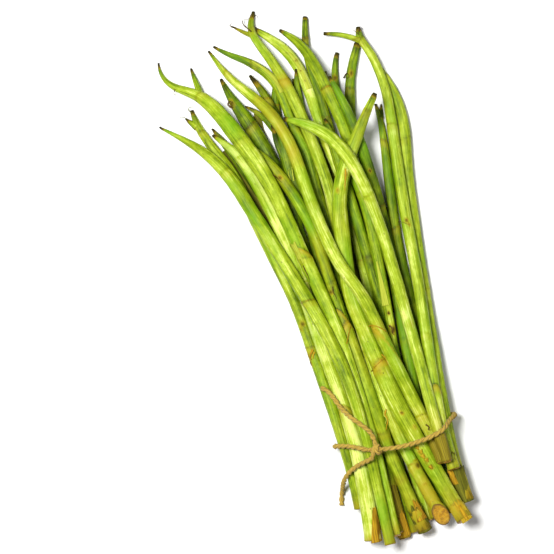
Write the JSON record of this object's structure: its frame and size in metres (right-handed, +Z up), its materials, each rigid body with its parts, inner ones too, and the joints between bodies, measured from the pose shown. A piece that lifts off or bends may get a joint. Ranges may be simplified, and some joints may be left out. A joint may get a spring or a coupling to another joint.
{
  "type": "taro stolon bunch",
  "caption": "Bunch of fresh green taro stolons, long tapering stems with side shoots and dried tips, tied near the cut ends with knotted jute twine and lying flat",
  "frame": {"origin": "bottom centre of the bunch's box, on the surface that it lies on", "axes": "+Y runs along the stems from the cut ends to the growing tips, +X is to the right seen from above, +Z is up"},
  "size_m": [0.1604, 0.3618, 0.0435],
  "materials": {
    "stem_bright": "fresh smooth moist plant skin, fine lengthwise streaks, bright green",
    "stem_lime": "fresh smooth moist plant skin, fine lengthwise streaks, lime green",
    "stem_green": "fresh smooth moist plant skin, fine lengthwise streaks, green green",
    "stem_deep": "fresh smooth moist plant skin, fine lengthwise streaks, deep green",
    "jute_twine": "two-ply twisted jute, matt and hairy"
  },
  "bodies": {
    "root": {"stolon_dark_broad": "stem_deep", "stolon_kinked_centre": "stem_green", "stolon_mid_yellow": "stem_bright", "stolon_under_right": "stem_green", "stolon_brown_tip": "stem_deep", "stolon_swept_left": "stem_green", "stolon_blunt_high": "stem_green", "stolon_forked_right": "stem_lime", "stolon_long_right": "stem_lime", "stolon_straight_right": "stem_green", "stolon_outer_left": "stem_lime", "stolon_left_bright": "stem_bright", "stolon_outer_right": "stem_lime", "stolon_twig_right": "stem_lime", "stolon_ringed_centre": "stem_bright", "stolon_broad_crossing": "stem_lime", "stolon_sheathed_left": "stem_lime", "stolon_long_centre": "stem_lime", "stolon_big_left": "stem_bright", "stolon_front_left": "stem_lime", "stolon_bright_crossing": "stem_bright", "twine_loop": "jute_twine", "twine_knot": "jute_twine", "twine_tail_upper": "jute_twine", "twine_tail_lower": "jute_twine"}
  },
  "joints": []
}
